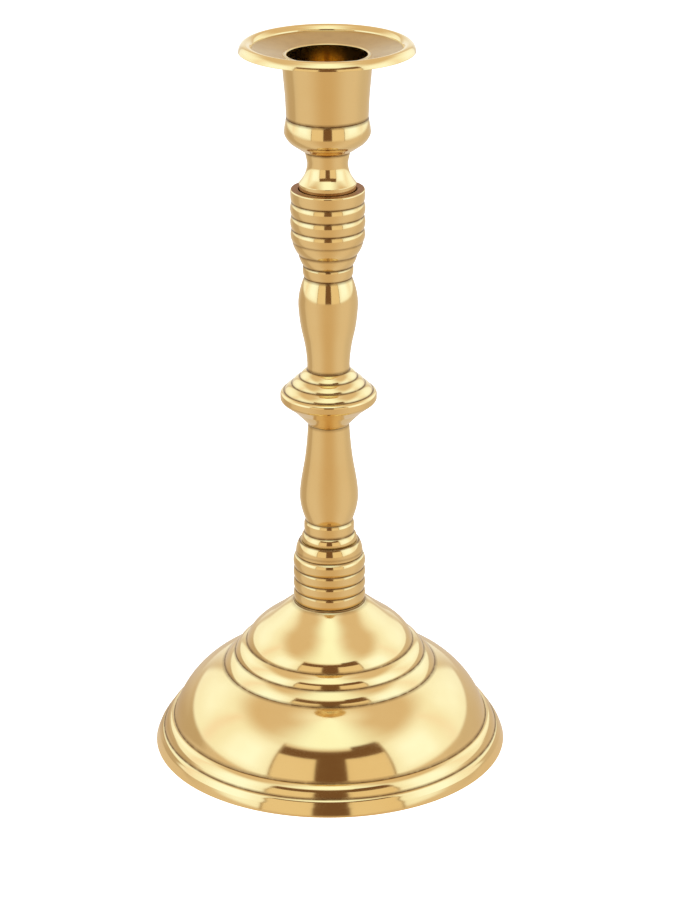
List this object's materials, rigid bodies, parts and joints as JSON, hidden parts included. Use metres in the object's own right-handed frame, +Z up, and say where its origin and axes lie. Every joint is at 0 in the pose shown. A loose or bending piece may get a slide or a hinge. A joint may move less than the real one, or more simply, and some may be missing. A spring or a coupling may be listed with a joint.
{
  "type": "candlestick",
  "caption": "Turned brass candlestick: hollow domed base, reeded and baluster stem with a disc knop, and an unscrewing candle cup with a drip pan.",
  "frame": {"origin": "on the table under the centre of the base", "axes": "+Z up along the turning axis, towards the candle"},
  "size_m": [0.103, 0.103, 0.209],
  "materials": {
    "polished_brass": "turned and polished, lightly lacquered",
    "pan_brass": "satin turned face with concentric lathe lines",
    "zinc_steel": "zinc plated, thread rolled"
  },
  "bodies": {
    "stem": {"base_dome": "polished_brass", "lower_reeded_collar": "polished_brass", "stepped_collar": "polished_brass", "lower_baluster": "polished_brass", "middle_knop": "polished_brass", "upper_baluster": "polished_brass", "reeded_capital": "polished_brass", "tie_rod": "zinc_steel", "base_washer": "zinc_steel", "base_nut": "zinc_steel"},
    "cup_stud": {"cup_stud": "zinc_steel"},
    "candle_cup": {"cup_foot": "polished_brass", "candle_socket": "polished_brass", "drip_pan": "pan_brass"}
  },
  "joints": [
    {"name": "cup_turn", "type": "hinge", "parent": "stem", "child": "cup_stud", "pos_m": [0, 0, 0.1673], "axis": [0, 0, 1], "range_deg": [0, 2880]},
    {"name": "cup_rise", "type": "slide", "parent": "cup_stud", "child": "candle_cup", "axis": [0, 0, 1], "range_m": [0, 0.0081]}
  ],
  "couplings": [
    {"joint": "cup_rise", "follows": "cup_turn", "m_per_rad": 0.00015915}
  ]
}
